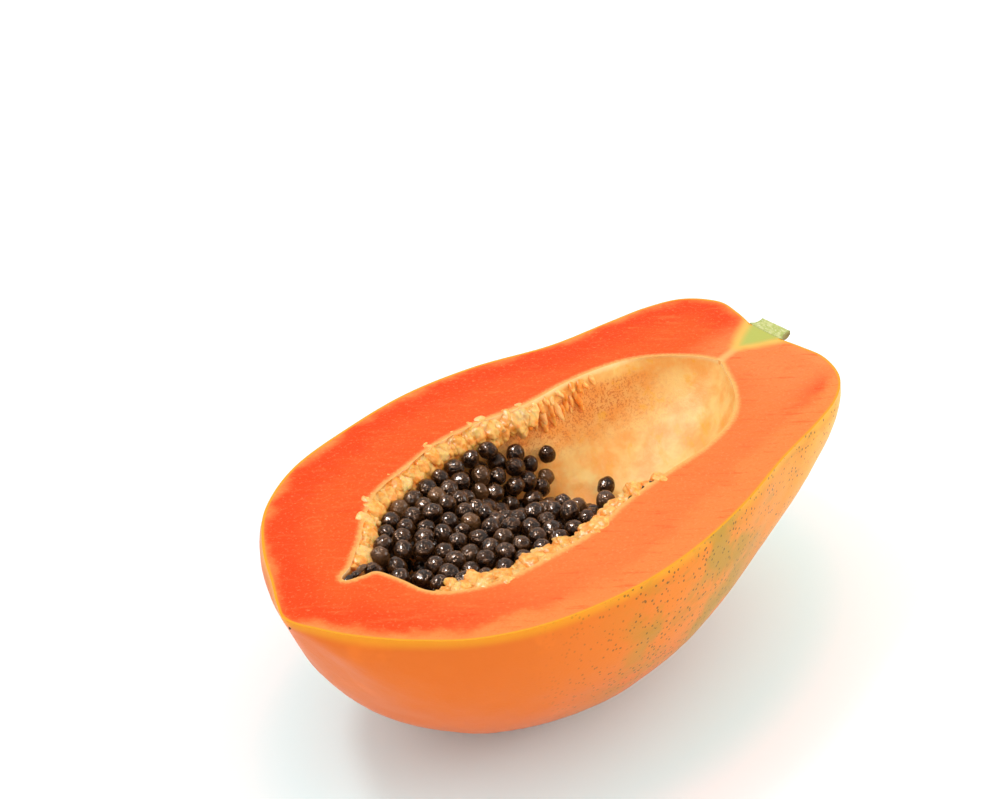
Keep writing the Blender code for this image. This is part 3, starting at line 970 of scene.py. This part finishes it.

# %% [markdown]
# ## Seeds
# A fresh papaya seed sits in a wet clear skin over a wrinkled black coat. The finish is nearly
# black with brown and olive where the skin is thick, and a painted brown rim light at the edges,
# under a glossy coat that catches the lamps.

# %% Make the seeds
wet = Finish("wet_seed", 0.24, 0.20)
wet.surface.inputs["Specular Tint"].default_value = (1.0, 0.58, 0.36, 1)
spot = wet.coordinates()
cloud = wet.noise(spot, 2.0, 3.0, 0.6)
facing = wet.nodes.new("ShaderNodeLayerWeight")
facing.inputs["Blend"].default_value = 0.35
tone = wet.blend(wet.ramp(cloud, 0.42, 0.62), (0.005, 0.002, 0.0015), (0.048, 0.016, 0.004))
thick_skin = wet.ramp(cloud, 0.3, 0.55)
# Painted rim light: brown where the seed's edges turn away from the view and the noise makes the skin
# thick, standing in for light through the wet skin.
painted_rim_light = wet.maths("MULTIPLY", wet.ramp(facing.outputs["Facing"], 0.20, 0.85), thick_skin)
tone = wet.blend(wet.maths("MULTIPLY", painted_rim_light, 0.85), tone, (0.15, 0.055, 0.012))
paler = wet.ramp(wet.attribute("tone"), 0.82, 0.99, 0.0, 0.6)
tone = wet.blend(paler, tone, (0.17, 0.075, 0.025))
wet.colour(tone)
wet.bump(wet.noise(spot, 1.0, 2.0, 0.6), 0.6)
wet.surface.inputs["Coat Weight"].default_value = 0.32
wet.surface.inputs["Coat Roughness"].default_value = 0.12

SEED_SIZE = (3.2, 2.9, 2.7)
turner = random.Random(HEAP_SEED)


def seed_spots(seats, size=SEED_SIZE, spread=0.09):
    """Random turn and size for each seat."""
    spots = []
    for seat in seats:
        turn_of = [turner.uniform(0, 2 * math.pi) for _ in range(3)]
        grow_by = 1 + turner.uniform(-spread, spread)
        spots.append((seat, turn_of, [half * grow_by for half in size]))
    return spots


top_seeds = scatter("seeds", seed_spots(top_seats), wet.material, 4, 0.85, 2.0, 3)
belongs(top_seeds, "seed", *seed_nodes)
deep_seeds = scatter("deeper_seeds", seed_spots(deep_seats), wet.material, 2, 0.4, 2.5, 4)
belongs(deep_seeds, "seed", "seed_heap")

# %% [markdown]
# ## Tissue that the seeds grow on
# Along the cavity's rim the seeds hang on soft peach tissue. On the far side it is a row of
# knuckles that point into the cavity, with some fingers further on, and on the near side the cut
# left a ragged ledge. All of it repeats along the rim, so the same tree makes it. Deep wrinkles
# make the pebbles run together into torn tissue.

# %% Ruffles, ledge and fingers
soft = Finish("peach_tissue", 0.40, 0.18)
spot = soft.coordinates()
patches = soft.ramp(soft.noise(spot, 2.5, 3.0, 0.6), 0.35, 0.65)
tone = soft.blend(patches, (0.95, 0.29, 0.035), (0.98, 0.50, 0.13))
tone = soft.blend(soft.ramp(soft.attribute("tone"), 0.6, 1.0, 0.0, 0.5), tone, (0.97, 0.63, 0.24))
soft.colour(tone)
soft.bump(soft.noise(spot, 0.8, 3.0, 0.6), 0.2)
soft.soft_light(0.35, (1.0, 0.35, 0.1), 2.0)

wall_walk = random.Random(8)


def wall_spot(x, far, drop_by, lift):
    """Point lift mm off the far or near wall at x, that far below the cut, and the way inwards."""
    side = 1 if far else -1
    column = 0 if far else -1
    row = int(np.argmin(np.abs(cavity[:, column, 0] - x)))
    ratio = min(drop_by / max(-cavity[row, CAVITY_STEPS // 2, 2], 1.0), 0.95)
    step = int(round(math.asin(ratio) / math.pi * CAVITY_STEPS))
    point = cavity[row, step if far else CAVITY_STEPS - step]
    ahead = cavity[min(row + 3, RINGS - 1), column] - cavity[max(row - 3, 0), column]
    inward = Vector((ahead[1] * side, -ahead[0] * side, 0)).normalized()
    return Vector(point) + inward * lift, inward


def ruffle(far, first_x, last_x, pitch, drop_by, lift, size, lean, jitter):
    """A row of pebbles along the wall whose long side points inwards, leaning down."""
    spots = []
    x = first_x
    while x < last_x:
        point, inward = wall_spot(x, far, drop_by + wall_walk.uniform(-0.7, 0.7), lift)
        heading = math.atan2(inward.y, inward.x) + wall_walk.uniform(-0.5, 0.5)
        turn_of = Euler((wall_walk.uniform(-0.6, 0.6), lean + wall_walk.uniform(-0.25, 0.25), heading))
        factor = 1 + wall_walk.uniform(-jitter, jitter)
        spots.append((point, turn_of, [half * factor for half in size]))
        x += pitch * wall_walk.uniform(0.75, 1.25)
    return spots


FRINGE_ROWS = (
    # from x, to x, pitch, below the cut, off the wall, half sizes, lean, change of size
    (30, 122, 2.1, 2.4, 0.3, (2.9, 2.1, 1.3), 0.45, 0.3),
    (32, 122, 2.3, 3.4, 1.7, (3.0, 2.2, 1.6), 0.75, 0.4),
    (36, 120, 2.6, 6.0, 1.6, (2.9, 2.1, 1.7), 1.0, 0.4),
)
LEDGE_ROWS = (
    (37, 120, 2.1, 1.9, 0.9, (3.3, 2.3, 1.2), 0.08, 0.3),
    (38, 112, 2.4, 2.3, 3.4, (3.3, 2.3, 1.4), 0.15, 0.4),
    (40, 80, 2.6, 2.9, 6.0, (3.2, 2.2, 1.4), 0.3, 0.45),
    (40, 110, 3.6, 6.0, 3.6, (2.8, 2.0, 1.6), 0.8, 0.3),
)
FINGER_ROWS = (
    (118, 148, 2.8, 2.6, 0.3, (2.0, 0.9, 0.8), 0.8, 0.3),
    (120, 144, 2.8, 5.6, 0.6, (3.0, 0.85, 0.8), 1.0, 0.45),
    (122, 142, 3.6, 8.6, 0.5, (2.6, 0.8, 0.8), 1.1, 0.45),
)


def ruffles_of(rows, far):
    """All the pebbles of some rows on the far or the near wall."""
    return [spot for row in rows for spot in ruffle(far, *row)]


fringe = scatter("far_fringe", ruffles_of(FRINGE_ROWS, True), soft.material, 4, 2.1, 2.0, 6)
belongs(fringe, "fruit")
ledge = scatter("near_ledge", ruffles_of(LEDGE_ROWS, False), soft.material, 4, 2.1, 2.0, 7)
belongs(ledge, "fruit")
tissue = scatter("fingers", ruffles_of(FINGER_ROWS, True), soft.material, 3, 1.2, 2.0, 8)
belongs(tissue, "fruit")

# %% [markdown]
# ## Scraps and the blossom scar
# The knife sliced some seeds: dark scraps lie in the slit and along the near rim. At the tip a
# small dark scar is left from the blossom.

# %% Make scraps and scar
SLIT_SCRAPS = ((24.6, 3.1), (27.4, 3.3), (30.2, 4.0), (32.5, 2.2))
scraps = []
for x, y in SLIT_SCRAPS:
    scraps.append(((x, y, -0.9), (0.2, 0.1, 0.15), (2.1, 1.0, 0.8)))
for x in (106.5, 110.5, 113.5, 117.0):
    point, inward = wall_spot(x, False, 0.9, 0.7)
    heading = math.atan2(inward.y, inward.x) + math.pi / 2 + wall_walk.uniform(-0.3, 0.3)
    scraps.append((point, (0.3, 0.1, heading), (2.0, 0.9, 0.6)))
seed_scraps = scatter("seed_scraps", scraps, wet.material, 4, 1.0, 1.3, 9)
belongs(seed_scraps, "seed")

scar_finish = Finish("dry_scar", 0.8, 0.2)
scar_finish.colour(scar_finish.blend(scar_finish.noise(scar_finish.coordinates(), 0.5), (0.02, 0.014, 0.01),
                                     (0.09, 0.05, 0.03)))
scar = scatter("blossom_scar", [((1.2, 0.4, -2.2), (0, 0.5, 0), (0.7, 0.7, 1.2))], scar_finish.material,
               4, 0.5, 0.8, 2)
belongs(scar, "fruit")
